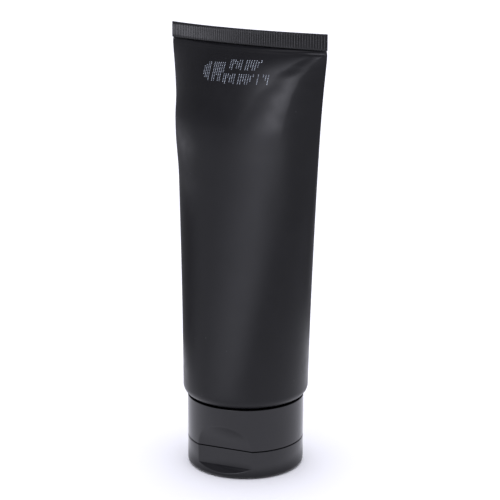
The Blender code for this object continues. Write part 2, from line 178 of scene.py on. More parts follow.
def block(name, low, high):
    """A box given by its lowest and highest corners."""
    bm = bmesh.new()
    bmesh.ops.create_cube(bm, size=1.0)
    for vertex in bm.verts:
        share = vertex.co + Vector((0.5, 0.5, 0.5))
        vertex.co = [a + (b - a) * t for a, b, t in zip(low, high, share)]
    return finish_mesh(name, bm)


def lofted(name, rings, sharp_angle=35):
    """A closed solid through rings of equally many points, closed at both ends."""
    bm = bmesh.new()
    rows = [[bm.verts.new(point) for point in ring] for ring in rings]
    count = len(rows[0])
    for row, above in zip(rows, rows[1:]):
        for index in range(count):
            following = (index + 1) % count
            bm.faces.new((row[index], row[following], above[following], above[index]))
    bm.faces.new(rows[0])
    bm.faces.new(rows[-1])
    return finish_mesh(name, bm, sharp_angle)


def combine(target, operation, *tools):
    """Boolean the tools into the target for good, and remove them."""
    for tool in tools:
        modifier = target.modifiers.new(tool.name, "BOOLEAN")
        modifier.operation = operation
        modifier.solver = "EXACT"
        modifier.object = tool
    settle(target)
    for tool in tools:
        bpy.data.objects.remove(tool)


def settle(target):
    """Turn an object's modifiers into plain mesh."""
    graph = bpy.context.evaluated_depsgraph_get()
    result = bpy.data.meshes.new_from_object(target.evaluated_get(graph))
    old = target.data
    target.modifiers.clear()
    target.data = result
    bpy.data.meshes.remove(old)


def round_edges(target, width, segments=3, angle=14):
    """Bevel the edges that turn by more than an angle, and keep flat faces flat."""
    bevel = target.modifiers.new("soft_edges", "BEVEL")
    bevel.width = width
    bevel.segments = segments
    bevel.limit_method = "ANGLE"
    bevel.angle_limit = math.radians(angle)
    bevel.miter_outer = "MITER_ARC"
    bevel.use_clamp_overlap = True
    weights = target.modifiers.new("weights", "WEIGHTED_NORMAL")
    weights.keep_sharp = True
    settle(target)


def arc(centre, radius, start, end, steps):
    """Points of a round corner in (radius, height); the angles are in degrees."""
    angles = [math.radians(start + (end - start) * step / steps) for step in range(steps + 1)]
    return [(centre[0] + radius * math.cos(a), centre[1] + radius * math.sin(a)) for a in angles]


def helix(name, foot_r, crest_r, start_z, segments=72):
    """A thread ridge whose ends taper into the wall that it stands on."""
    steps = round(THREAD_TURNS * segments)
    outward = 1 if crest_r > foot_r else -1
    sunk_r = foot_r - outward * 0.3 * MM
    rings = []
    for step in range(steps + 1):
        angle = 2 * math.pi * step / segments
        height = start_z + THREAD_PITCH * step / segments
        fade = min(1.0, step / (segments / 8), (steps - step) / (segments / 8))
        tip_r = foot_r + (crest_r - foot_r) * math.sin(fade * math.pi / 2)
        middle_r = tip_r - outward * 0.12 * MM * fade
        ridge = ((sunk_r, -0.85), (foot_r, -0.85), (middle_r, -0.5), (tip_r, -0.38),
                 (tip_r, 0.38), (middle_r, 0.5), (foot_r, 0.85), (sunk_r, 0.85))
        rings.append([(r * math.cos(angle), r * math.sin(angle), height + z * MM)
                      for r, z in ridge])
    return lofted(name, rings)


# ---- sleeve shape -------------------------------------------------------------------------
def outline(half_width, half_depth, sharpness, count):
    """Section of the sleeve: an ellipse at sharpness 0.5, pointed ends towards 1."""
    points = []
    for step in range(count):
        angle = 2 * math.pi * step / count
        depth = half_depth * abs(math.sin(angle)) ** (2 * sharpness)
        points.append((half_width * math.cos(angle), math.copysign(depth, math.sin(angle))))
    return points


def girth(points):
    """Length round a closed outline."""
    following = points[1:] + points[:1]
    return sum(math.dist(a, b) for a, b in zip(points, following))


girth_of_round_end = girth(outline(TUBE_R, TUBE_R, 0.5, 96))


def half_depth_for(half_width, sharpness):
    """Half depth at which the section has the round end's girth, found by halving."""
    low = 0.0
    high = 1.2 * TUBE_R
    for _ in range(30):
        middle = (low + high) / 2
        if girth(outline(half_width, middle, sharpness, 96)) < girth_of_round_end:
            low = middle
        else:
            high = middle
    return low


@functools.lru_cache(maxsize=None)
def section(height):
    """Half width, half depth, sharpness and bow of the sleeve at a height."""
    share = max(0.0, (height - CORNER_Z) / (CRIMP_Z - CORNER_Z))
    half_width = TUBE_R + (SEAL_HALF - TUBE_R) * share ** SPREAD_POWER
    width_share = share
    if height > PRESSED_FROM:
        pressed = (height - PRESSED_FROM) / (PRESSED_TO - PRESSED_FROM)
        height = PRESSED_FROM + min(1.0, pressed) * (CRIMP_Z - PRESSED_FROM)
        share = (height - CORNER_Z) / (CRIMP_Z - CORNER_Z)
    sharpness = 0.5 + (EDGE_SHARPNESS - 0.5) * share ** EDGE_POWER
    half_depth = max(half_depth_for(half_width, sharpness), SEAL_HALF_THICKNESS - 0.1 * MM)
    half_width -= 1.5 * CRIMP_TRIM * width_share ** TRIM_POWER
    return half_width, half_depth, sharpness, BOW * share ** BOW_POWER


def bell(value, centre, width):
    """A smooth bump of height 1."""
    return math.exp(-((value - centre) / width) ** 2)


def ease(value, start, end):
    """0 before start, 1 after end, smooth between."""
    share = min(1.0, max(0.0, (value - start) / (end - start)))
    return share * share * (3 - 2 * share)


def tent(value, peak, before, after, rounding):
    """1 at the peak, falling to 0 on both sides, with a rounded top."""
    reach = before if value < peak else after
    away = math.sqrt((value - peak) ** 2 + rounding ** 2) - rounding
    return 1 - ease(away / reach, 0.0, 1.0) if away < reach else 0.0


def along(value, *stops):
    """Run a value through (value, result) stops, with an eased change between them."""
    if value <= stops[0][0]:
        return stops[0][1]
    for (low, first), (high, second) in zip(stops, stops[1:]):
        if value <= high:
            return first + (second - first) * ease(value, low, high)
    return stops[-1][1]


def front_relief(across, height):
    """How far the front stands out of its even shape; across is -1 to 1 along the seal."""
    z = height / MM
    out = 0.0
    # the fold that runs down from the right end of the seal
    fold = along(z, (133, 0.72), (142, 0.73), (150, 0.76), (157, 0.80), (162, 0.87), (168.25, 0.99))
    tall = along(z, (128, 0.0), (140, 0.75), (148, 1.0), (158, 0.8), (166, 0.25), (168.25, 0.0))
    if across < fold:
        wide = along(z, (136, 0.5), (148, 0.4), (158, 0.26), (166, 0.12))
        out += tall * tent(across, fold, wide, 0.5, 0.015)
    else:
        out += tall * (1 - (across - fold) / (1.0001 - fold)) ** 1.2
    # the kink across the upper left, and the flatter face under it
    edge_fade = ease(across, -1.0, -0.86)
    kink = 134.5 - 1.5 * across
    reach = along(across, (-0.95, 1.25), (-0.5, 1.0), (0.1, 0.6), (0.75, 0.35), (0.95, 0.0))
    out += 1.15 * edge_fade * reach * tent(z, kink, 20.0, 13.0, 2.0)
    # the shallow dent to the right of the middle
    out -= 0.35 * bell(across, 0.76, 0.16) * bell(z, 109, 9.0)
    # the pressed line under the seal
    out -= 0.14 * bell(z, 166.7, 0.35) * ease(abs(across), 1.0, 0.97)
    return out * MM


def back_relief(across, height):
    """The same for the back, which is only a little dented."""
    z = height / MM
    fade = ease(abs(across), 1.0, 0.86)
    out = 0.5 * tent(across, -0.72, 0.4, 0.25, 0.05) * tent(z, 148, 18.0, 16.0, 3.0)
    out += 0.6 * fade * bell(across, 0.35, 0.5) * tent(z, 131, 22.0, 16.0, 3.0)
    out -= 0.14 * bell(z, 166.7, 0.35)
    return out * fade * MM


def sleeve_ring(height, count, inset=0.0):
    """One ring of the sleeve at a height, moved inwards by a wall's thickness."""
    half_width, half_depth, sharpness, bow = section(height)
    half_width -= inset
    ring = []
    for x, y in outline(half_width, half_depth - inset, sharpness, count):
        across = x / half_width
        shift = back_relief(across, height) if y > 0 else -front_relief(across, height)
        ring.append((x, y + shift - bow * (1 - across ** 2), height))
    return ring


def front_point(x, height):
    """The point of the front at a distance along the seal and a height."""
    half_width, half_depth, sharpness, bow = section(height)
    across = x / half_width
    depth = half_depth * (1 - across ** 2) ** sharpness + front_relief(across, height)
    return Vector((x, -depth - bow * (1 - across ** 2), height))


def corner_rings(radius, count, steps):
    """Rings of the round corner from the shoulder up to the straight sleeve."""
    centre = (TUBE_R - CORNER_R, CORNER_Z)
    rings = []
    for ring_r, height in arc(centre, radius, CORNER_START, 0, steps)[:-1]:
        scale = ring_r / TUBE_R
        rings.append([(x * scale, y * scale, height)
                      for x, y in outline(TUBE_R, TUBE_R, 0.5, count)])
    return rings


def evenly(low, high, count):
    """Evenly spaced values from low to high, in count steps."""
    return [low + (high - low) * step / count for step in range(count + 1)]


def make_sleeve():
    """The laminate sleeve from its round corner up into the seal, a closed shell."""
    count = 360
    outer = corner_rings(CORNER_R, count, 14)
    levels = evenly(CORNER_Z, 110 * MM, 40) + evenly(110.8 * MM, 160 * MM, 70)
    levels += evenly(160.4 * MM, CRIMP_Z, 34)
    outer += [sleeve_ring(height, count) for height in levels]
    outer.append([(x, y, CRIMP_Z + 0.5 * MM) for x, y, _ in outer[-1]])
    inner = corner_rings(CORNER_R - SLEEVE_WALL, count, 6)
    inner += [sleeve_ring(height, count, SLEEVE_WALL)
              for height in evenly(CORNER_Z, 163 * MM, 40)]
    return lofted("sleeve_skin", inner[::-1] + outer, 60)


def make_crimp():
    """The pressed seal: round-crested ribs run up and down it on both faces."""
    per_rib = 8
    count = RIB_COUNT * per_rib
    levels = ((0.0, 0.35), (0.0, 0.8), (0.05, 1.0), (0.2, 1.0), (0.5, 1.0), (0.8, 1.0),
              (0.95, 1.0), (0.985, 0.85), (1.0, 0.55))
    rings = []
    for share, fullness in levels:
        front = []
        back = []
        for step in range(count + 1):
            x = CRIMP_REACH * (2 * step / count - 1)
            middle = -BOW * (1 - (x / SEAL_HALF) ** 2)
            wave = (0.5 - 0.5 * math.cos(2 * math.pi * step / per_rib)) ** 0.6
            rib = RIB_DEPTH * wave * ease(share, 0.0, 0.06) * (1 - ease(share, 0.95, 1.0))
            half = (SEAL_HALF_THICKNESS + rib) * fullness
            front.append((x, middle - half))
            back.append((x, middle + half))
        height = CRIMP_Z + CRIMP_HEIGHT * share
        rings.append([(x, y, height) for x, y in front + back[::-1]])
    return lofted("seal_crimp", rings, 50)


def make_print():
    """A batch mark of small ink dots: rows of dotted bars that spell nothing."""
    bm = bmesh.new()
    bars = (7, 2, 5, 0, 7, 3, 7, 0, 4, 6, 2, 7, 0, 3, 7, 5, 0, 6, 2, 7, 4, 0, 7, 7, 3)
    # left end and top in millimetres, number of bars, and the tallest bar's dots
    rows = [(0.5, 162.9, 15, 7), (-2.0, 157.6, 21, 7), (-11.8, 161.3, 11, 13)]
    for left, top, columns, tall in rows:
        for column in range(columns):
            length = round(bars[(2 * column + tall) % len(bars)] * tall / 7)
            drop = (tall - length) // 2 if column % 4 < 2 else 0
            for row in range(drop, drop + length):
                x = left * MM + DOT_COLUMN * column - 0.06 * MM * row
                height = top * MM - DOT_ROW * row + 0.045 * DOT_COLUMN * column
                ink_dot(bm, x, height)
    return finish_mesh("ink_dots", bm, 60)


def ink_dot(bm, x, height):
    """A low round blob of ink that lies on the front."""
    centre = front_point(x, height)
    aside = (front_point(x + DOT_R, height) - centre).normalized()
    upward = (front_point(x, height + DOT_R) - centre).normalized()
    outward = aside.cross(upward).normalized()
    sides = 8
    rings = []
    for scale, proud in ((1.0, -0.02), (1.0, 0.012), (0.75, 0.03)):
        ring = []
        for step in range(sides):
            angle = 2 * math.pi * step / sides
            flat = aside * math.cos(angle) + upward * math.sin(angle)
            ring.append(bm.verts.new(centre + flat * DOT_R * scale + outward * proud * MM))
        rings.append(ring)
    for lower, upper in zip(rings, rings[1:]):
        for step in range(sides):
            following = (step + 1) % sides
            bm.faces.new((lower[step], lower[following], upper[following], upper[step]))
    bm.faces.new(rings[-1])
    bm.faces.new(rings[0][::-1])


def make_head():
    """The moulded shoulder and threaded neck inside the sleeve's round end."""
    corner = (TUBE_R - CORNER_R, CORNER_Z)
    rim_r = CORNER_R - SLEEVE_WALL - 0.3 * MM
    rim_top = CORNER_Z + 2.6 * MM
    outside = [(corner[0] + rim_r, rim_top)] + arc(corner, rim_r, 0, CORNER_START, 10)
    step_r = corner[0] + 0.45 * MM
    outside += [(step_r, outside[-1][1]), (step_r, SHOULDER_Z)]
    outside += arc((NECK_R + 0.5 * MM, SHOULDER_Z - 0.5 * MM), 0.5 * MM, 90, 180, 4)
    outside += arc((NECK_R - 0.35 * MM, NECK_END_Z + 0.35 * MM), 0.35 * MM, 0, -90, 4)
    outside += [(SPOUT_HOLE_R, NECK_END_Z)]
    inside = [(SPOUT_HOLE_R, NECK_END_Z + 1.2 * MM), (6.5 * MM, NECK_END_Z + 1.2 * MM),
              (6.5 * MM, SHOULDER_Z + 1.5 * MM)]
    inside += arc(corner, rim_r - 1.0 * MM, CORNER_START, 0, 8)
    inside += [(corner[0] + rim_r - 1.0 * MM, rim_top)]
    head = turned("head_moulding", outside + inside, 144)
    thread = helix("neck_thread", NECK_R, NECK_R + 0.9 * MM, THREAD_START_Z)
    return head, thread


def make_liner():
    """The sealing disc, with two grooves in its upper face."""
    low = 15.8 * MM
    high = low + 0.8 * MM
    groove = 0.12 * MM
    profile = [(SPOUT_HOLE_R, low), (8.8 * MM, low), (8.8 * MM, high), (8.2 * MM, high),
               (8.0 * MM, high - groove), (7.4 * MM, high - groove), (7.2 * MM, high),
               (5.4 * MM, high), (5.2 * MM, high - groove), (4.6 * MM, high - groove),
               (4.4 * MM, high), (SPOUT_HOLE_R, high)]
    return turned("liner_disc", profile, 120)


# ---- cap pieces, in the cap's own frame ---------------------------------------------------
def least(first, second, blend=0.12 * MM):
    """The smaller of two lengths, with the change between them rounded."""
    share = max(blend - abs(first - second), 0.0) / blend
    return min(first, second) - share * share * blend / 4


def wall_rings(levels, front_distance):
    """Rings of a round wall whose front is cut back to a flat or scooped face."""
    rings = []
    for height, radius in levels:
        ring = []
        for step in range(RING_COUNT):
            angle = 2 * math.pi * step / RING_COUNT
            facing = -math.sin(angle)
            reach = radius
            if facing > 0.2:
                reach = least(radius, (front_distance(height) - (CAP_R - radius)) / facing)
            ring.append((reach * math.cos(angle), reach * math.sin(angle), height))
        rings.append(ring)
    return rings


def facet_distance(_height):
    """The lid's inside is flat behind the facet, the same at every height."""
    return FACET_FROM_AXIS


def scoop_distance(height):
    """How far the base's scooped face is from the axis at a height."""
    above = min(height - PARTING_Z, SCOOP_HEIGHT + 0.5 * MM)
    return FACET_FROM_AXIS + SCOOP_R - math.sqrt(SCOOP_R ** 2 - above ** 2)


def edge_levels(height, radius, upper):
    """Levels that round the outer edge at the top or the bottom of a wall."""
    centre = (radius - EDGE_R, height - EDGE_R if upper else height + EDGE_R)
    start, end = (0, 90) if upper else (-90, 0)
    return [(level, at) for at, level in arc(centre, EDGE_R, start, end, 5)]


def ring_shell(name, rows, closed):
    """A shell through rings of equally many points, closed on itself or by its end faces."""
    bm = bmesh.new()
    rows = [[bm.verts.new(point) for point in ring] for ring in rows]
    count = len(rows[0])
    following_rows = rows[1:] + rows[:1] if closed else rows[1:]
    for row, above in zip(rows, following_rows):
        for index in range(count):
            after = (index + 1) % count
            bm.faces.new((row[index], row[after], above[after], above[index]))
    if not closed:
        bm.faces.new(rows[0])
        bm.faces.new(rows[-1])
    bmesh.ops.remove_doubles(bm, verts=bm.verts, dist=1e-7)
    return finish_mesh(name, bm, 28)


def hinge_window(low, high):
    """Cutter for the opening in which the snap strap lies."""
    return block("window", (-WINDOW_HALF, PAD_BACK - 0.3 * MM, low),
                 (WINDOW_HALF, CAP_R + 1 * MM, high))


def make_cap_wall():
    """The base's outer wall with its thumb scoop, a closed shell."""
    low = PARTING_Z + PARTING_GAP
    outer = edge_levels(low, CAP_R, False)
    outer += [(height, CAP_R) for height in evenly(low + 0.5 * MM, CAP_TOP - 0.5 * MM, 60)]
    outer += edge_levels(CAP_TOP, CAP_R, True)
    inner_r = CAP_R - CAP_WALL
    inner = [(height, inner_r) for height in evenly(low, CAP_TOP - 0.2 * MM, 24)]
    inner.append((CAP_TOP, inner_r + 0.2 * MM))
    rows = wall_rings(inner, scoop_distance)[::-1] + wall_rings(outer, scoop_distance)
    wall = ring_shell("cap_wall", rows, True)
    combine(wall, "DIFFERENCE", hinge_window(low - 2 * MM, PARTING_Z + WINDOW_HEIGHT))
    return wall


def make_cap_deck():
    """The base's floor with its nozzle, threaded socket, collar and hinge pad."""
    low = PARTING_Z + PARTING_GAP
    deck_top = low + 2.1 * MM
    inner_r = CAP_R - CAP_WALL + 0.3 * MM
    spout_low = low - 0.75 * MM
    profile = [(2.5 * MM, spout_low), (3.7 * MM, spout_low), (4.0 * MM, spout_low + 0.3 * MM),
               (4.25 * MM, low), (inner_r, low), (inner_r, deck_top), (10.8 * MM, deck_top),
               (10.8 * MM, 27.2 * MM), (10.6 * MM, 27.4 * MM), (9.4 * MM, 27.4 * MM),
               (SOCKET_R, 27.2 * MM), (SOCKET_R, 15.5 * MM), (3.5 * MM, 15.5 * MM),
               (2.5 * MM, 14.0 * MM)]
    front = -FACET_FROM_AXIS + CAP_WALL - 0.3 * MM
    deck = turned("cap_deck", profile, 288)
    trim = block("trim", (-30 * MM, -30 * MM, low - 1 * MM), (30 * MM, front, deck_top + 4 * MM))
    collar, collar_core, bead = make_collar(low)
    pad = block("pad", (-PAD_HALF, PAD_BACK, low), (PAD_HALF, PAD_FACE, PARTING_Z + PAD_HEIGHT))
    window = hinge_window(low - 2 * MM, PARTING_Z + WINDOW_HEIGHT)
    combine(collar, "DIFFERENCE", collar_core)
    combine(collar, "UNION", bead)
    combine(deck, "DIFFERENCE", trim)
    combine(deck, "UNION", collar, pad)
    combine(deck, "DIFFERENCE", window)
    round_edges(deck, 0.12 * MM)
    thread = helix("socket_thread", SOCKET_R, SOCKET_R - 0.9 * MM, THREAD_START_Z + THREAD_PITCH / 2)
    return deck, thread


def make_collar(low):
    """A low wall round the deck that centres the lid, with the bead that holds it shut."""
    bottom = low - 1.85 * MM
    outer_r = 21.4 * MM
    inner_r = 20.4 * MM
    front = (0, -18.3 * MM, 0)
    inner_front = (0, -17.3 * MM, 0)
    back = (0, 16.5 * MM, 0)
    past_back = (0, 17.5 * MM, 0)
    forward = (0, -1, 0)
    backward = (0, 1, 0)
    outer = [(0, bottom), (outer_r, bottom), (outer_r, low + 0.5 * MM), (0, low + 0.5 * MM)]
    inner = [(0, bottom - 1 * MM), (inner_r, bottom - 1 * MM), (inner_r, low + 0.6 * MM),
             (0, low + 0.6 * MM)]
    collar = turned("collar", outer, 144, [(front, forward), (back, backward)])
    hollow = turned("collar_core", inner, 144, [(inner_front, forward), (past_back, backward)])
    bead = block("bead", (-4 * MM, -18.6 * MM, bottom + 0.4 * MM),
                 (4 * MM, -17.9 * MM, bottom + 0.9 * MM))
    return collar, hollow, bead


def lid_distance(height):
    """How far the lid's thumb face is from the axis: flat above, sloping out to a lip."""
    down = (LIP_TOP - height) / (LIP_TOP - LIP_LOW)
    return FACET_FROM_AXIS + LIP_REACH * min(1.0, max(0.0, down))


def make_lid_wall():
    """The lid's face and outer wall, with its thumb facet and the lip at its foot."""
    top = PARTING_Z - PARTING_GAP
    outer = [(0, 0.4 * CAP_R), (0, 0.8 * CAP_R)]
    outer += [(height, radius) for radius, height in
              arc((CAP_R - LID_CORNER_R, LID_CORNER_R), LID_CORNER_R, -90, 0, 14)]
    outer += [(height, CAP_R) for height in evenly(1.7 * MM, LIP_TOP, 40)]
    outer += [(height, CAP_R) for height in evenly(LIP_TOP + 0.2 * MM, top - 0.5 * MM, 26)]
    outer += edge_levels(top, CAP_R, True)
    inner_r = CAP_R - CAP_WALL
    inner = [(LID_FACE, 0.3 * CAP_R), (LID_FACE, inner_r - 0.5 * MM)]
    inner += [(height, inner_r) for height in evenly(LID_FACE + 0.5 * MM, top, 12)]
    rows = wall_rings(inner, facet_distance) + wall_rings(outer, lid_distance)[::-1]
    lid = ring_shell("lid_wall", rows, False)
    combine(lid, "DIFFERENCE", hinge_window(PARTING_Z - WINDOW_HEIGHT, top + 1 * MM))
    return lid


def make_lid_inside():
    """The column that plugs the nozzle, and the lid's hinge pad."""
    top = PARTING_Z - PARTING_GAP
    profile = [(0, LID_FACE - 0.2 * MM), (3.6 * MM, LID_FACE - 0.2 * MM),
               (3.4 * MM, LID_FACE + 0.3 * MM), (2.5 * MM, LID_FACE + 1.2 * MM),
               (2.2 * MM, PIN_TOP_Z - 0.8 * MM), (1.6 * MM, PIN_TOP_Z), (0, PIN_TOP_Z)]
    pin = turned("lid_pin", profile, 96)
    pad = block("lid_pad", (-PAD_HALF, PAD_BACK, PARTING_Z - PAD_HEIGHT),
                (PAD_HALF, PAD_FACE, top))
    combine(pad, "DIFFERENCE", hinge_window(PARTING_Z - WINDOW_HEIGHT, top + 1 * MM))
    round_edges(pin, 0.15 * MM)
    round_edges(pad, 0.12 * MM)
    return pin, pad


def make_film(side):
    """A thin living hinge beside the strap, necked in along the hinge line."""
    bm = bmesh.new()
    rows = []
    for height in evenly(PARTING_Z - FILM_HALF_HEIGHT, PARTING_Z + FILM_HALF_HEIGHT, 20):
        away = abs(height - PARTING_Z)
        thick = 0.09 * MM + 0.09 * MM * ease(away, 0.1 * MM, 0.9 * MM)
        half = 1.6 * MM - 0.12 * MM * (1 - ease(away, 0.0, 0.8 * MM))
        middle_x = side * 6.2 * MM
        middle_y = HINGE_Y - 0.2 * MM * ease(away, 0.7 * MM, FILM_HALF_HEIGHT)
        rows.append([bm.verts.new((middle_x + x, middle_y + y, height)) for x, y in
                     ((-half, -thick), (0, -thick), (half, -thick),
                      (half, thick), (0, thick), (-half, thick))])
    for row, above in zip(rows, rows[1:]):
        for index in range(6):
            after = (index + 1) % 6
            bm.faces.new((row[index], row[after], above[after], above[index]))
    bm.faces.new(rows[0])
    bm.faces.new(rows[-1])
    return finish_mesh("film_left" if side < 0 else "film_right", bm, 60)


def make_strap():
    """The over-centre strap: a plate with thicker, rounded ends that take the bending."""
    reach = STRAP_ARM + 0.3 * MM
    rings = []
    for share in evenly(-1.0, 1.0, 28):
        thick = 0.3 * MM - 0.1 * MM * (1 - ease(abs(share), 0.55, 0.8))
        thick *= math.sqrt(max(0.05, 1 - ease(abs(share), 0.93, 1.0) * 0.9))
        half = 3.45 * MM - 0.35 * MM * bell(share, 0.0, 0.6)
        ring = []
        for x, y in ((-1, -0.5), (-0.97, -1), (0.97, -1), (1, -0.5),
                     (1, 0.5), (0.97, 1), (-0.97, 1), (-1, 0.5)):
            ring.append((x * half, STRAP_Y + y * thick, PARTING_Z + share * reach))
        rings.append(ring)
    return lofted("snap_strap", rings, 50)


# ---- materials ----------------------------------------------------------------------------
class Nodes:
    """Short calls for building a material's node tree."""

    def __init__(self, name):
        self.material = bpy.data.materials.new(name)
        self.material.use_nodes = True
        self.tree = self.material.node_tree
        self.shader = self.tree.nodes["Principled BSDF"]
        self.place = self.add("ShaderNodeTexCoord").outputs["Object"]

    def add(self, kind, **values):
        node = self.tree.nodes.new(kind)
        for key, value in values.items():
            setattr(node, key, value)
        return node

    def link(self, output, target):
        self.tree.links.new(output, target)

    def noise(self, scale, detail=2.0, stretch=(1, 1, 1)):
        spread = self.add("ShaderNodeMapping")
        spread.inputs["Scale"].default_value = stretch
        self.link(self.place, spread.inputs["Vector"])
        noise = self.add("ShaderNodeTexNoise")
        noise.inputs["Scale"].default_value = scale
        noise.inputs["Detail"].default_value = detail
        self.link(spread.outputs["Vector"], noise.inputs["Vector"])
        return noise.outputs["Fac"]

    def spread(self, value, low, high, from_low=0.0, from_high=1.0):
        ranged = self.add("ShaderNodeMapRange")
        ranged.inputs["From Min"].default_value = from_low
        ranged.inputs["From Max"].default_value = from_high
        ranged.inputs["To Min"].default_value = low
        ranged.inputs["To Max"].default_value = high
        self.link(value, ranged.inputs["Value"])
        return ranged.outputs["Result"]

    def colours(self, value, first, second):
        mix = self.add("ShaderNodeMix", data_type="RGBA")
        for socket, value_or_link in (("A", first), ("B", second)):
            if isinstance(value_or_link, tuple):
                mix.inputs[socket].default_value = (*value_or_link, 1)
            else:
                self.link(value_or_link, mix.inputs[socket])
        self.link(value, mix.inputs["Factor"])
        return mix.outputs["Result"]

    def split(self, colour):
        split = self.add("ShaderNodeSeparateColor")
        self.link(colour, split.inputs["Color"])
        return split.outputs["Red"]

    def bump(self, value, distance, strength=1.0, under=None):
        bump = self.add("ShaderNodeBump")
        bump.inputs["Distance"].default_value = distance
        bump.inputs["Strength"].default_value = strength
        self.link(value, bump.inputs["Height"])
        if under:
            self.link(under, bump.inputs["Normal"])
        return bump.outputs["Normal"]


def dust(nodes, colour, scale, size, amount):
    """Mix sparse pale specks into a colour; size is a speck's radius in metres."""
    cells = nodes.add("ShaderNodeTexVoronoi")
    cells.inputs["Scale"].default_value = scale
    nodes.link(nodes.place, cells.inputs["Vector"])
    speck = nodes.spread(cells.outputs["Distance"], 1.0, 0.0, 0.5 * size * scale, size * scale)
    chosen = nodes.spread(nodes.split(cells.outputs["Color"]), 0.0, amount, 0.55, 0.95)
    mask = nodes.add("ShaderNodeMath", operation="MULTIPLY")
    nodes.link(speck, mask.inputs[0])
    nodes.link(chosen, mask.inputs[1])
    return nodes.colours(mask.outputs[0], colour, (0.3, 0.3, 0.32))


def plastic(name, dark, light, roughness, grain, wave, ior=1.45, specks=0.0, scratch=0.0):
    """Moulded or extruded plastic: clouded colour, uneven gloss, fine grain and slow waves.

    grain and wave are (noise scale, depth in metres) pairs."""
    nodes = Nodes(name)
    cloud = nodes.spread(nodes.noise(70.0, 4.0), 0, 1, 0.35, 0.65)
    colour = nodes.colours(cloud, dark, light)
    if specks:
        colour = dust(nodes, colour, 190.0, 0.00016, specks)
    nodes.link(colour, nodes.shader.inputs["Base Color"])
    gloss = nodes.spread(nodes.noise(240.0, 5.0), *roughness, 0.3, 0.7)
    nodes.link(gloss, nodes.shader.inputs["Roughness"])
    nodes.shader.inputs["IOR"].default_value = ior
    normal = nodes.bump(nodes.noise(wave[0], 2.0), wave[1])
    normal = nodes.bump(nodes.noise(grain[0], 3.0), grain[1], 1.0, normal)
    if scratch:
        lines = nodes.noise(160.0, 6.0, (1.0, 1.0, 0.04))
        normal = nodes.bump(nodes.spread(lines, 0, 1, 0.68, 0.72), scratch, 1.0, normal)
    nodes.link(normal, nodes.shader.inputs["Normal"])
    return nodes.material


def ink():
    """Pale ink, worn thin in places."""
    nodes = Nodes("pale_ink")
    worn = nodes.spread(nodes.noise(1600.0, 3.0), 0, 1, 0.35, 0.6)
    nodes.link(nodes.colours(worn, (0.16, 0.18, 0.22), (0.5, 0.55, 0.62)),
               nodes.shader.inputs["Base Color"])
    nodes.shader.inputs["Roughness"].default_value = 0.7
    nodes.link(nodes.bump(nodes.noise(9000.0, 2.0), 0.00001), nodes.shader.inputs["Normal"])
    return nodes.material


def cream():
    """White cream with a wet sheen and soft folds."""
    nodes = Nodes("white_cream")
    nodes.link(nodes.colours(nodes.noise(120.0, 3.0), (0.82, 0.82, 0.79), (0.9, 0.9, 0.88)),
               nodes.shader.inputs["Base Color"])
    nodes.link(nodes.spread(nodes.noise(300.0, 3.0), 0.25, 0.5), nodes.shader.inputs["Roughness"])
    nodes.shader.inputs["Subsurface Weight"].default_value = 0.2
    nodes.link(nodes.bump(nodes.noise(500.0, 4.0), 0.0002), nodes.shader.inputs["Normal"])
    return nodes.material


def paint(target, finish):
    """Give an object one material."""
    target.data.materials.clear()
    target.data.materials.append(finish)


# ---- stage --------------------------------------------------------------------------------
STUDIO_COLOUR = (0.95, 0.95, 1.05, 1)
ROOM_LIGHT = 0.66
# soft areas of the room: turn, rise, inner angle, outer angle in degrees, and strength
STUDIO = (
    (0, 90, 25, 68, 1.15),          # overhead
    (-139, 4, 12, 52, 0.9),         # bright wall behind
)
TENT_R = 165 * MM
TENT_HEIGHT = 480 * MM
TENT_FOOT = 0.3 * MM                # the tent starts this far above the floor
TENT_GROUND_R = 23.7 * MM           # inner edge of its ground, just outside the cap
SOFT_BOX_STRENGTH = 6.2
SIDE_LAMP_STRENGTH = 1.7
GROUND_STRENGTH = 1.1
FOOT_SHADE = 0.6


def make_stage():
    """The pale floor."""
    bm = bmesh.new()
    bmesh.ops.create_grid(bm, x_segments=8, y_segments=8, size=6.0)
    floor = finish_mesh("floor", bm)
    nodes = Nodes("floor_paper")
    nodes.link(nodes.colours(nodes.noise(9.0, 3.0), (0.9, 0.9, 0.9), (0.92, 0.92, 0.92)),
               nodes.shader.inputs["Base Color"])
    nodes.shader.inputs["Roughness"].default_value = 0.9
    nodes.shader.inputs["Specular IOR Level"].default_value = 0.0
    floor.data.materials.append(nodes.material)


def direction(turn, rise):
    """A unit vector; turn is from -Y towards +X, rise is up from the floor, in degrees."""
    turn = math.radians(turn)
    rise = math.radians(rise)
    flat = math.cos(rise)
    return Vector((math.sin(turn) * flat, -math.cos(turn) * flat, math.sin(rise)))


def make_camera():
    """The camera, at the photograph's angle."""
    back = direction(math.degrees(CAMERA_TURN), math.degrees(CAMERA_RISE))
    right = Vector((math.cos(CAMERA_TURN), math.sin(CAMERA_TURN), 0))
    up = back.cross(right)
    aim = Vector((0, 0, CAMERA_AIM_Z)) + right * CAMERA_ASIDE
    rolled_right = right * math.cos(CAMERA_ROLL) + up * math.sin(CAMERA_ROLL)
    rolled_up = up * math.cos(CAMERA_ROLL) - right * math.sin(CAMERA_ROLL)
    camera = bpy.data.objects.new("camera", bpy.data.cameras.new("camera"))
    axes = Matrix((rolled_right, rolled_up, back)).transposed().to_4x4()
    camera.matrix_world = Matrix.Translation(aim + back * CAMERA_DISTANCE) @ axes
    camera.data.lens = CAMERA_LENS
    camera.data.sensor_width = 36
    camera.data.clip_start = 0.01
    bpy.context.scene.collection.objects.link(camera)
    bpy.context.scene.camera = camera


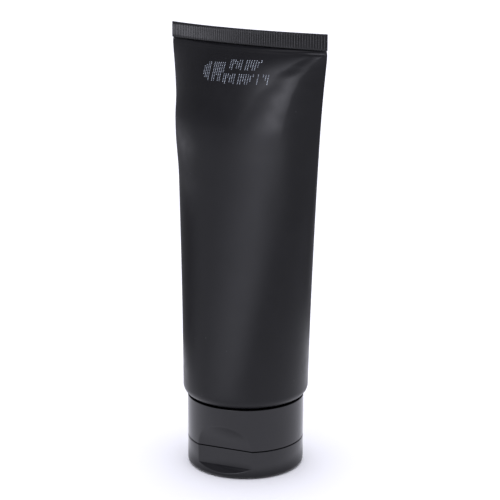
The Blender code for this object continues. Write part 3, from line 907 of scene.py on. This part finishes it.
def glow_card(name, rows, glow):
    """A card that only the object's gloss sees, as bright as glow says at each of its points."""
    bm = bmesh.new()
    points = [[bm.verts.new(place) for place in row] for row in rows]
    for row, above in zip(points, points[1:]):
        for index in range(len(row) - 1):
            bm.faces.new((row[index], row[index + 1], above[index + 1], above[index]))
    card = finish_mesh(name, bm)
    strengths = card.data.attributes.new("glow", "FLOAT", "POINT")
    for vertex, strength in zip(card.data.vertices, strengths.data):
        strength.value = glow(vertex.co)
    material = bpy.data.materials.new(name)
    material.use_nodes = True
    tree = material.node_tree
    tree.nodes.remove(tree.nodes["Principled BSDF"])
    emission = tree.nodes.new("ShaderNodeEmission")
    emission.inputs["Color"].default_value = STUDIO_COLOUR
    reader = tree.nodes.new("ShaderNodeAttribute")
    reader.attribute_name = "glow"
    tree.links.new(reader.outputs["Fac"], emission.inputs["Strength"])
    tree.links.new(emission.outputs["Emission"], tree.nodes["Material Output"].inputs["Surface"])
    card.data.materials.append(material)
    card.visible_camera = False
    card.visible_diffuse = False
    card.visible_transmission = False
    card.visible_shadow = False


def studio_turn(place):
    """Direction of a point about the tube, in degrees from the camera's; + is to its right."""
    turn = math.degrees(math.atan2(place.x, -place.y)) - math.degrees(CAMERA_TURN)
    return (turn + 180) % 360 - 180


def tent_glow(place):
    """Brightness of the tent's wall: soft light on the left, a soft box high and a low lamp."""
    turn = studio_turn(place)
    height = place.z / MM
    low = along(turn, (-180, 0.35), (-119, 0.15), (-84, 0.8), (-30, 2.1), (4, 0.8), (60, 0.8),
                (117, 0.3), (180, 0.35))
    high = along(turn, (-120, 0.25), (-40, 0.5), (40, 0.6), (117, 0.3))
    glow = low + (high - low) * ease(height, 112, 160)
    soft_box = bell(turn, -33, 14) * ease(height, 122, 154) * (1 - ease(height, 195, 215))
    side_lamp = bell(turn, -119, 15) * bell(height, 107, 9)
    return glow + SOFT_BOX_STRENGTH * soft_box + SIDE_LAMP_STRENGTH * side_lamp


def ground_glow(place):
    """Brightness of the ground: even, and dimmer close to the foot, where the tube shades it."""
    reach = math.hypot(place.x, place.y) / MM
    return GROUND_STRENGTH - FOOT_SHADE * (1 - ease(reach, 25, 36))


def make_tent():
    """The light tent that the black gloss mirrors."""
    turns = evenly(0, 2 * math.pi, 240)
    wall = [[(TENT_R * math.sin(turn), -TENT_R * math.cos(turn), height) for turn in turns]
            for height in evenly(TENT_FOOT, TENT_HEIGHT, 48)]
    glow_card("tent_wall", wall, tent_glow)
    ground = [[(reach * math.sin(turn), -reach * math.cos(turn), TENT_FOOT) for turn in turns]
              for reach in evenly(TENT_GROUND_R, TENT_R, 110)]
    glow_card("tent_ground", ground, ground_glow)


def make_world():
    """A soft studio: dim walls with soft bright areas, each a direction, angles and strength."""
    world = bpy.data.worlds.new("studio")
    world.use_nodes = True
    tree = world.node_tree
    background = tree.nodes["Background"]
    looking = tree.nodes.new("ShaderNodeTexCoord").outputs["Generated"]
    total = None
    for turn, rise, inner, outer, strength in STUDIO:
        towards = tree.nodes.new("ShaderNodeVectorMath")
        towards.operation = "DOT_PRODUCT"
        towards.inputs[1].default_value = direction(turn, rise)
        tree.links.new(looking, towards.inputs[0])
        area = tree.nodes.new("ShaderNodeMapRange")
        area.interpolation_type = "SMOOTHSTEP"
        area.inputs["From Min"].default_value = math.cos(math.radians(outer))
        area.inputs["From Max"].default_value = math.cos(math.radians(inner))
        area.inputs["To Max"].default_value = strength
        tree.links.new(towards.outputs["Value"], area.inputs["Value"])
        if total is None:
            area.inputs["To Min"].default_value = ROOM_LIGHT
            area.inputs["To Max"].default_value = strength + ROOM_LIGHT
            total = area.outputs["Result"]
        else:
            add = tree.nodes.new("ShaderNodeMath")
            tree.links.new(total, add.inputs[0])
            tree.links.new(area.outputs["Result"], add.inputs[1])
            total = add.outputs["Value"]
    background.inputs["Color"].default_value = STUDIO_COLOUR
    tree.links.new(total, background.inputs["Strength"])
    bpy.context.scene.world = world
    bpy.context.scene.view_settings.view_transform = "Standard"


make_camera()
make_stage()
make_world()
make_tent()

sleeve_black = plastic("sleeve_satin", (0.0035, 0.0035, 0.0048), (0.005, 0.005, 0.0066),
                       (0.28, 0.36), (5200.0, 0.0000022), (38.0, 0.00012), 1.34, 0.5)
crimp_black = plastic("crimp_satin", (0.004, 0.0041, 0.0052), (0.006, 0.0061, 0.0074),
                      (0.22, 0.3), (5200.0, 0.000002), (300.0, 0.00002), 1.42)
cap_black = plastic("cap_gloss", (0.0042, 0.004, 0.0055), (0.0058, 0.0056, 0.0074),
                    (0.04, 0.08), (2600.0, 0.0000002), (55.0, 0.000012), 1.49, 0.25, 0.000001)
inner_black = plastic("moulded_matte", (0.004, 0.004, 0.0045), (0.008, 0.008, 0.0085),
                      (0.32, 0.5), (1500.0, 0.000008), (90.0, 0.00003))
hinge_black = plastic("hinge_satin", (0.008, 0.008, 0.0085), (0.012, 0.012, 0.0125),
                      (0.22, 0.34), (2600.0, 0.000003), (200.0, 0.00001))
liner_white = plastic("liner_foam", (0.66, 0.66, 0.63), (0.8, 0.8, 0.78), (0.5, 0.65),
                      (2400.0, 0.00003), (240.0, 0.00004))

made = [
    (make_sleeve(), sleeve_black, "tube", "sleeve", "tube_sleeve"),
    (make_crimp(), crimp_black, "tube", "sleeve", None),
    (make_print(), ink(), "tube", "sleeve", None),
]
head, neck_thread = make_head()
made += [
    (head, inner_black, "tube", "head", "tube_head"),
    (neck_thread, inner_black, "tube", "head", None),
    (make_liner(), liner_white, "liner", "liner", "sealing_liner"),
]
deck, socket_thread = make_cap_deck()
pin, lid_pad = make_lid_inside()
in_cap_frame = [
    (make_cap_wall(), cap_black, "cap", "cap", "cap_base"),
    (deck, inner_black, "cap", "cap", None),
    (socket_thread, cap_black, "cap", "cap", None),
    (make_lid_wall(), cap_black, "lid", "lid", "flip_lid"),
    (pin, cap_black, "lid", "lid", None),
    (lid_pad, cap_black, "lid", "lid", None),
    (make_strap(), hinge_black, "strap", "hinge", "hinge_snap_strap"),
]
for piece, *_ in in_cap_frame:
    piece.data.transform(Matrix.Rotation(CAP_TURN, 4, "Z"))
for piece, finish, body, slot, node in made + in_cap_frame:
    paint(piece, finish)
    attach(piece, body)
    if node:
        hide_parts(node)

for side, node in ((-1, "hinge_film_left"), (1, "hinge_film_right")):
    film = make_film(side)
    film.data.transform(Matrix.Rotation(CAP_TURN, 4, "Z"))
    paint(film, hinge_black)
    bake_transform(film)
    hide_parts(node)

paint(frame["nodes"]["cream_fill"], cream())
